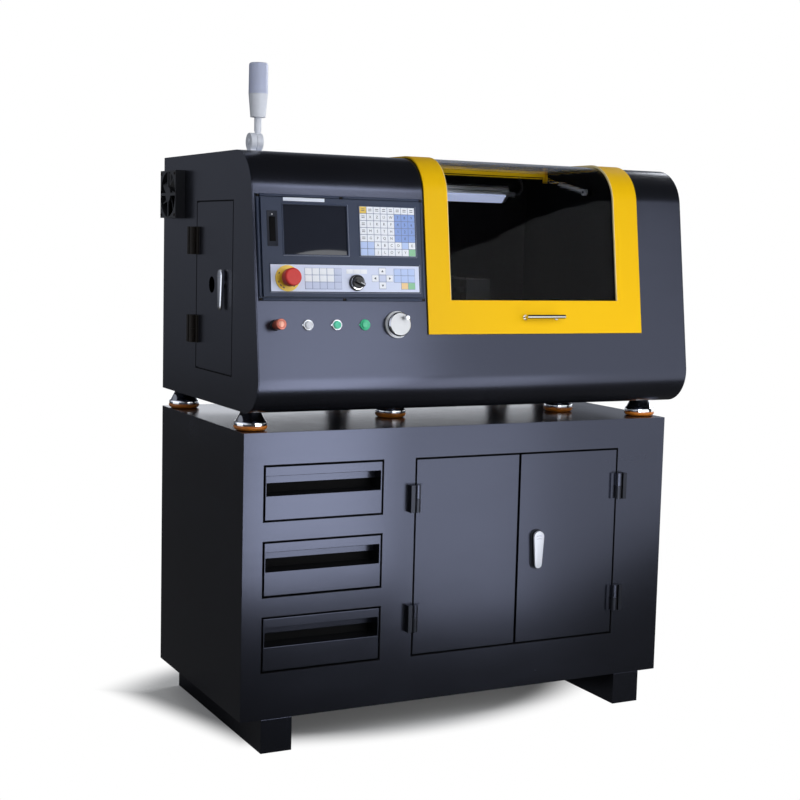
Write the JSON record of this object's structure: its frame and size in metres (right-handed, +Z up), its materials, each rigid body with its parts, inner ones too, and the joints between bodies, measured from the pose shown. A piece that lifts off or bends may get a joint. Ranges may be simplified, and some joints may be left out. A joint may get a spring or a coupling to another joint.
{
  "type": "benchtop cnc lathe",
  "caption": "Enclosed benchtop CNC lathe with a lift-up window door and control panel, on levelling feet over a matching steel cabinet with drawers and doors.",
  "frame": {"origin": "middle of the footprint, on the floor", "axes": "+X to the right as the operator faces it, +Y to the back, +Z up"},
  "size_m": [1.225, 0.7048, 1.6334],
  "materials": {
    "black_paint": "semi-gloss powder paint",
    "yellow_paint": "satin powder paint",
    "slate_panel": "satin powder paint",
    "black_plastic": "satin",
    "black_metal": "satin",
    "chrome": "polished",
    "steel": "ground",
    "aluminium": "satin",
    "iron": "painted casting",
    "orange_rubber": "matte",
    "black_rubber": "matte",
    "clear_window": "clear acrylic",
    "dark_glass": "gloss",
    "film": "satin film",
    "yellow_plastic": "satin",
    "red_plastic": "gloss",
    "green_plastic": "gloss",
    "white_plastic": "gloss",
    "grey_plastic": "translucent",
    "diffuser": "frosted"
  },
  "bodies": {
    "base": {"cabinet_body": "black_paint", "cabinet_skids": "black_paint", "cabinet_hinge_leaves": "black_metal", "foot_pads": "orange_rubber", "foot_domes": "chrome", "front_wrap": "black_paint", "left_side_plate": "black_paint", "right_side_plate": "black_paint", "back_panel": "black_paint", "base_pan": "black_paint", "work_area_liner": "black_paint", "side_hinge_leaves": "black_metal", "fan_frame": "black_plastic", "door_hinge_fixed": "black_metal", "control_bezel": "slate_panel", "screen": "dark_glass", "key_films": "film", "estop_plate": "yellow_plastic", "button_rings": "chrome", "handwheel_base": "black_plastic", "beacon_foot": "grey_plastic", "lamp_body": "aluminium", "lamp_diffuser": "diffuser", "lamp_cable": "black_rubber", "bed": "iron", "headstock": "iron", "spindle_motor": "black_metal", "drive_belt": "black_rubber"},
    "drawer_top": {"drawer_top": "black_paint"},
    "drawer_middle": {"drawer_middle": "black_paint"},
    "drawer_bottom": {"drawer_bottom": "black_paint"},
    "cabinet_door_left": {"cabinet_door_left": "black_paint"},
    "cabinet_door_right": {"cabinet_door_right": "black_paint", "cabinet_lock_plate": "chrome"},
    "cabinet_lock_lever": {"cabinet_lock_lever": "chrome"},
    "side_door": {"side_door": "black_paint"},
    "side_lock_lever": {"side_lock_lever": "chrome"},
    "fan_impeller": {"fan_impeller": "black_plastic"},
    "front_door": {"door_frame": "yellow_paint", "door_window": "clear_window", "door_handle": "chrome"},
    "strut_cylinder": {"strut_cylinder": "black_metal"},
    "strut_rod": {"strut_rod": "steel"},
    "estop_button": {"estop_button": "red_plastic"},
    "override_knob": {"override_knob": "black_plastic"},
    "button_red": {"button_red": "red_plastic"},
    "button_white": {"button_white": "white_plastic"},
    "button_green_ringed": {"button_green_ringed": "green_plastic"},
    "button_green": {"button_green": "green_plastic"},
    "handwheel": {"handwheel": "aluminium"},
    "handwheel_grip": {"handwheel_grip": "chrome"},
    "beacon": {"beacon_arm": "grey_plastic", "beacon_lens": "grey_plastic"},
    "spindle": {"spindle": "steel", "collet_nut": "steel"},
    "motor_pulley": {"motor_pulley": "aluminium"},
    "carriage": {"carriage": "iron"},
    "cross_slide": {"cross_slide": "steel", "tool_blocks": "steel"},
    "z_ball_screw": {"z_ball_screw": "steel"}
  },
  "joints": [
    {"name": "drawer_top_slide", "type": "slide", "parent": "base", "child": "drawer_top", "axis": [0, -1, 0], "range_m": [0, 0.34]},
    {"name": "drawer_middle_slide", "type": "slide", "parent": "base", "child": "drawer_middle", "axis": [0, -1, 0], "range_m": [0, 0.34]},
    {"name": "drawer_bottom_slide", "type": "slide", "parent": "base", "child": "drawer_bottom", "axis": [0, -1, 0], "range_m": [0, 0.34]},
    {"name": "cabinet_door_left_swing", "type": "hinge", "parent": "base", "child": "cabinet_door_left", "pos_m": [-0.1355, -0.257, 0.198], "axis": [0, 0, -1], "range_deg": [0, 105]},
    {"name": "cabinet_door_right_swing", "type": "hinge", "parent": "base", "child": "cabinet_door_right", "pos_m": [0.4635, -0.257, 0.198], "axis": [0, 0, 1], "range_deg": [0, 105]},
    {"name": "cabinet_lock_turn", "type": "hinge", "parent": "cabinet_door_right", "child": "cabinet_lock_lever", "pos_m": [0.22, -0.2476, 0.459], "axis": [0, 1, 0], "range_deg": [0, 90]},
    {"name": "side_door_swing", "type": "hinge", "parent": "base", "child": "side_door", "pos_m": [-0.5969, 0.0904, 0.898], "axis": [0, 0, -1], "range_deg": [0, 110]},
    {"name": "side_lock_turn", "type": "hinge", "parent": "side_door", "child": "side_lock_lever", "pos_m": [-0.5875, -0.1016, 1.114], "axis": [1, 0, 0], "range_deg": [0, 90]},
    {"name": "fan_spin", "type": "hinge", "parent": "base", "child": "fan_impeller", "pos_m": [-0.5875, 0.2454, 1.327], "axis": [-1, 0, 0], "continuous": true},
    {"name": "front_door_lift", "type": "hinge", "parent": "base", "child": "front_door", "pos_m": [-0.1495, 0.1644, 1.4294], "axis": [-1, 0, 0], "range_deg": [0, 65]},
    {"name": "strut_turn", "type": "hinge", "parent": "base", "child": "strut_cylinder", "pos_m": [0.4355, -0.0876, 1.365], "axis": [1, 0, 0], "range_deg": [0, 18.79]},
    {"name": "strut_extend", "type": "slide", "parent": "strut_cylinder", "child": "strut_rod", "axis": [0, 0.9802, 0.1982], "range_m": [0, 0.0411]},
    {"name": "estop_press", "type": "slide", "parent": "base", "child": "estop_button", "axis": [0, 0.9907, -0.1357], "range_m": [0, 0.005], "stiffness_N_per_m": 800},
    {"name": "override_turn", "type": "hinge", "parent": "base", "child": "override_knob", "pos_m": [-0.3385, -0.30113, 1.12268], "axis": [0, -0.9907, 0.1357], "range_deg": [-135, 135]},
    {"name": "button_red_press", "type": "slide", "parent": "base", "child": "button_red", "axis": [0, 0.9907, -0.1357], "range_m": [0, 0.004], "stiffness_N_per_m": 400},
    {"name": "button_white_press", "type": "slide", "parent": "base", "child": "button_white", "axis": [0, 0.9907, -0.1357], "range_m": [0, 0.004], "stiffness_N_per_m": 400},
    {"name": "button_green_ringed_press", "type": "slide", "parent": "base", "child": "button_green_ringed", "axis": [0, 0.9907, -0.1357], "range_m": [0, 0.004], "stiffness_N_per_m": 400},
    {"name": "button_green_press", "type": "slide", "parent": "base", "child": "button_green", "axis": [0, 0.9907, -0.1357], "range_m": [0, 0.004], "stiffness_N_per_m": 400},
    {"name": "handwheel_turn", "type": "hinge", "parent": "base", "child": "handwheel", "pos_m": [-0.2325, -0.3143, 1.02658], "axis": [0, -0.9907, 0.1357], "continuous": true},
    {"name": "grip_spin", "type": "hinge", "parent": "handwheel", "child": "handwheel_grip", "pos_m": [-0.22143, -0.31238, 1.04061], "axis": [0, -0.9907, 0.1357], "continuous": true},
    {"name": "beacon_fold", "type": "hinge", "parent": "base", "child": "beacon", "pos_m": [-0.5125, -0.0976, 1.4484], "axis": [-1, 0, 0], "range_deg": [0, 85]},
    {"name": "spindle_turn", "type": "hinge", "parent": "base", "child": "spindle", "pos_m": [-0.5875, -0.0196, 1.107], "axis": [1, 0, 0], "continuous": true},
    {"name": "motor_turn", "type": "hinge", "parent": "base", "child": "motor_pulley", "pos_m": [-0.5875, 0.1924, 1], "axis": [1, 0, 0], "continuous": true},
    {"name": "carriage_travel", "type": "slide", "parent": "base", "child": "carriage", "axis": [1, 0, 0], "range_m": [-0.08, 0.09]},
    {"name": "cross_travel", "type": "slide", "parent": "carriage", "child": "cross_slide", "axis": [0, 1, 0], "range_m": [-0.06, 0.06]},
    {"name": "screw_turn", "type": "hinge", "parent": "base", "child": "z_ball_screw", "pos_m": [-0.5875, 0.0104, 0.954], "axis": [1, 0, 0], "continuous": true}
  ],
  "couplings": [
    {"joint": "strut_turn", "follows": "front_door_lift", "ratio": 0.28137},
    {"joint": "strut_extend", "follows": "front_door_lift", "m_per_rad": 0.035824},
    {"joint": "motor_turn", "follows": "spindle_turn", "ratio": 1},
    {"joint": "screw_turn", "follows": "carriage_travel", "rad_per_m": 628.32}
  ]
}
